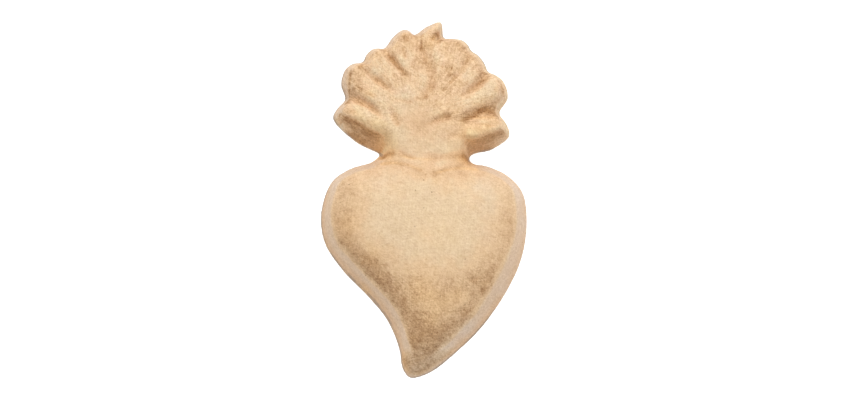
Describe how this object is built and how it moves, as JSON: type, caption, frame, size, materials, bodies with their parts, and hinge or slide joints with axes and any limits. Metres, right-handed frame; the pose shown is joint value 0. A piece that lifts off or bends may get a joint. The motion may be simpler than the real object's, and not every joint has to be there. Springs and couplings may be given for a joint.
{
  "type": "flaming heart ornament",
  "caption": "Plump heart with a curled point and a crown of flames over a narrow neck, moulded in half relief on a flat back.",
  "frame": {"origin": "centre of the bounding box of the flat back, on the surface it lies on", "axes": "+Z out of the flat back through the relief, +Y from the heart's point to the tips of the flames, +X to the right as the face is looked at"},
  "size_m": [0.1086, 0.19, 0.03],
  "materials": {
    "paper_pulp": "raw brown paper pulp, matt and fibrous"
  },
  "bodies": {
    "root": {"flaming_heart": "paper_pulp"}
  },
  "joints": []
}
